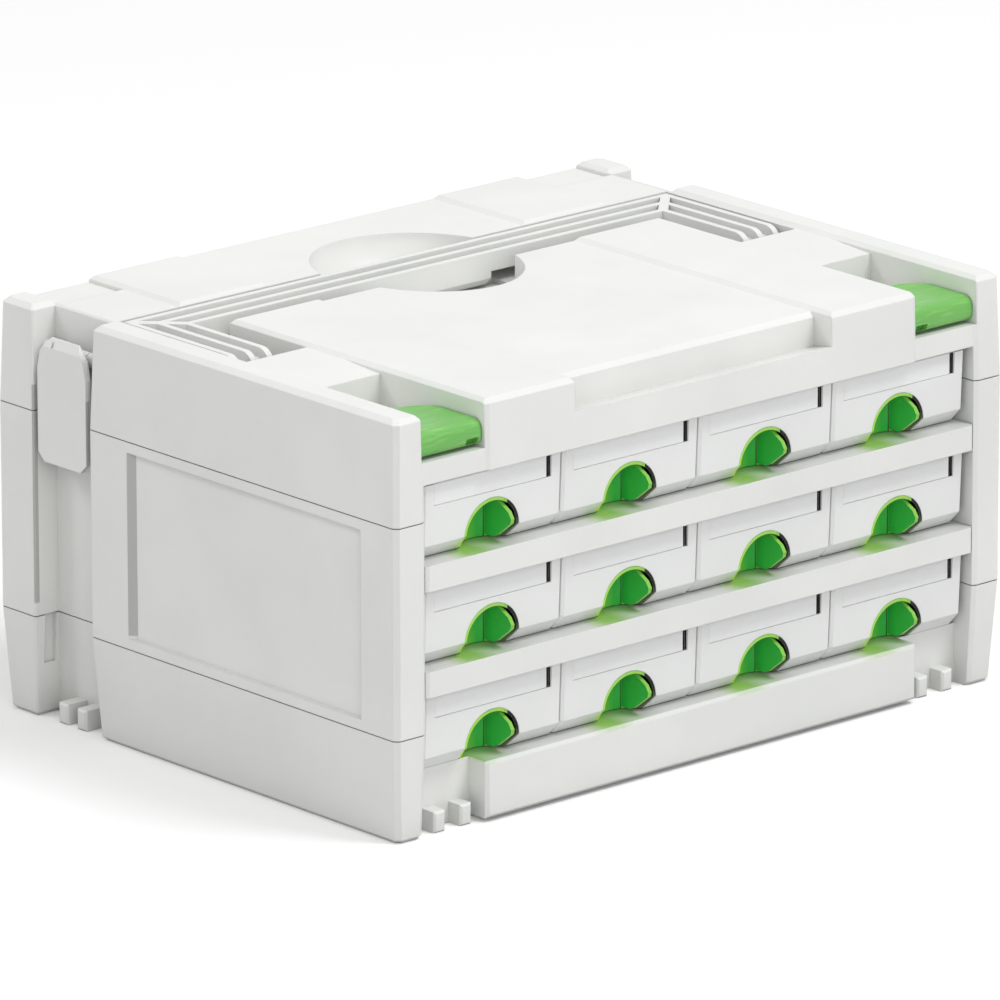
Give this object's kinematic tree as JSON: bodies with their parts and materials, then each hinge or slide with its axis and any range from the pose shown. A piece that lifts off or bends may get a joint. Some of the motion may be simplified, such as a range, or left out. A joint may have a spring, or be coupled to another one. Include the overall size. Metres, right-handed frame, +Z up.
{
  "type": "tool case with small drawers",
  "caption": "Stackable plastic tool case with rows of small drawers behind an open front, a folding carrying handle and flip-up locks.",
  "frame": {"origin": "middle of the footprint, on the surface the case stands on", "axes": "+Z up, drawers face -Y, +X to the right of someone facing them"},
  "size_m": [0.396, 0.296, 0.21],
  "materials": {
    "shell": "fine matt grain, light grey",
    "drawer": "fine matt grain, light grey",
    "grip_green": "satin moulded plastic",
    "lock_green": "fine matt grain",
    "label": "plain card, nothing printed",
    "steel": "zinc plated"
  },
  "bodies": {
    "case": {"top_cover": "shell", "middle_frame": "shell", "base_frame": "shell", "upper_shelf": "shell", "lower_shelf": "shell", "case_screws": "steel", "lock_pins": "steel", "side_latch_pins": "steel", "handle_pivots": "steel"},
    "handle": {"carry_handle": "shell"},
    "left_lock": {"left_lock": "lock_green"},
    "right_lock": {"right_lock": "lock_green"},
    "left_latch": {"left_side_latch": "shell"},
    "right_latch": {"right_side_latch": "shell"},
    "drawer_1_1": {"drawer_1_1": "drawer", "grip_1_1": "grip_green", "label_1_1": "label"},
    "drawer_1_2": {"drawer_1_2": "drawer", "grip_1_2": "grip_green", "label_1_2": "label"},
    "drawer_1_3": {"drawer_1_3": "drawer", "grip_1_3": "grip_green", "label_1_3": "label"},
    "drawer_1_4": {"drawer_1_4": "drawer", "grip_1_4": "grip_green", "label_1_4": "label"},
    "drawer_2_1": {"drawer_2_1": "drawer", "grip_2_1": "grip_green", "label_2_1": "label"},
    "drawer_2_2": {"drawer_2_2": "drawer", "grip_2_2": "grip_green", "label_2_2": "label"},
    "drawer_2_3": {"drawer_2_3": "drawer", "grip_2_3": "grip_green", "label_2_3": "label"},
    "drawer_2_4": {"drawer_2_4": "drawer", "grip_2_4": "grip_green", "label_2_4": "label"},
    "drawer_3_1": {"drawer_3_1": "drawer", "grip_3_1": "grip_green", "label_3_1": "label"},
    "drawer_3_2": {"drawer_3_2": "drawer", "grip_3_2": "grip_green", "label_3_2": "label"},
    "drawer_3_3": {"drawer_3_3": "drawer", "grip_3_3": "grip_green", "label_3_3": "label"},
    "drawer_3_4": {"drawer_3_4": "drawer", "grip_3_4": "grip_green", "label_3_4": "label"}
  },
  "joints": [
    {"name": "handle_fold", "type": "hinge", "parent": "case", "child": "handle", "pos_m": [0, -0.001, 0.2], "axis": [1, 0, 0], "range_deg": [0, 90]},
    {"name": "left_lock_flip", "type": "hinge", "parent": "case", "child": "left_lock", "pos_m": [-0.1604, -0.138, 0.194], "axis": [1, 0, 0], "range_deg": [0, 90]},
    {"name": "right_lock_flip", "type": "hinge", "parent": "case", "child": "right_lock", "pos_m": [0.1604, -0.138, 0.194], "axis": [1, 0, 0], "range_deg": [0, 90]},
    {"name": "left_latch_flip", "type": "hinge", "parent": "case", "child": "left_latch", "pos_m": [-0.1876, 0.099, 0.188], "axis": [0, 1, 0], "range_deg": [0, 55]},
    {"name": "right_latch_flip", "type": "hinge", "parent": "case", "child": "right_latch", "pos_m": [0.1876, 0.099, 0.188], "axis": [0, -1, 0], "range_deg": [0, 55]},
    {"name": "drawer_1_1_slide", "type": "slide", "parent": "case", "child": "drawer_1_1", "axis": [0, -1, 0], "range_m": [0, 0.2]},
    {"name": "drawer_1_2_slide", "type": "slide", "parent": "case", "child": "drawer_1_2", "axis": [0, -1, 0], "range_m": [0, 0.2]},
    {"name": "drawer_1_3_slide", "type": "slide", "parent": "case", "child": "drawer_1_3", "axis": [0, -1, 0], "range_m": [0, 0.2]},
    {"name": "drawer_1_4_slide", "type": "slide", "parent": "case", "child": "drawer_1_4", "axis": [0, -1, 0], "range_m": [0, 0.2]},
    {"name": "drawer_2_1_slide", "type": "slide", "parent": "case", "child": "drawer_2_1", "axis": [0, -1, 0], "range_m": [0, 0.2]},
    {"name": "drawer_2_2_slide", "type": "slide", "parent": "case", "child": "drawer_2_2", "axis": [0, -1, 0], "range_m": [0, 0.2]},
    {"name": "drawer_2_3_slide", "type": "slide", "parent": "case", "child": "drawer_2_3", "axis": [0, -1, 0], "range_m": [0, 0.2]},
    {"name": "drawer_2_4_slide", "type": "slide", "parent": "case", "child": "drawer_2_4", "axis": [0, -1, 0], "range_m": [0, 0.2]},
    {"name": "drawer_3_1_slide", "type": "slide", "parent": "case", "child": "drawer_3_1", "axis": [0, -1, 0], "range_m": [0, 0.2]},
    {"name": "drawer_3_2_slide", "type": "slide", "parent": "case", "child": "drawer_3_2", "axis": [0, -1, 0], "range_m": [0, 0.2]},
    {"name": "drawer_3_3_slide", "type": "slide", "parent": "case", "child": "drawer_3_3", "axis": [0, -1, 0], "range_m": [0, 0.2]},
    {"name": "drawer_3_4_slide", "type": "slide", "parent": "case", "child": "drawer_3_4", "axis": [0, -1, 0], "range_m": [0, 0.2]}
  ]
}
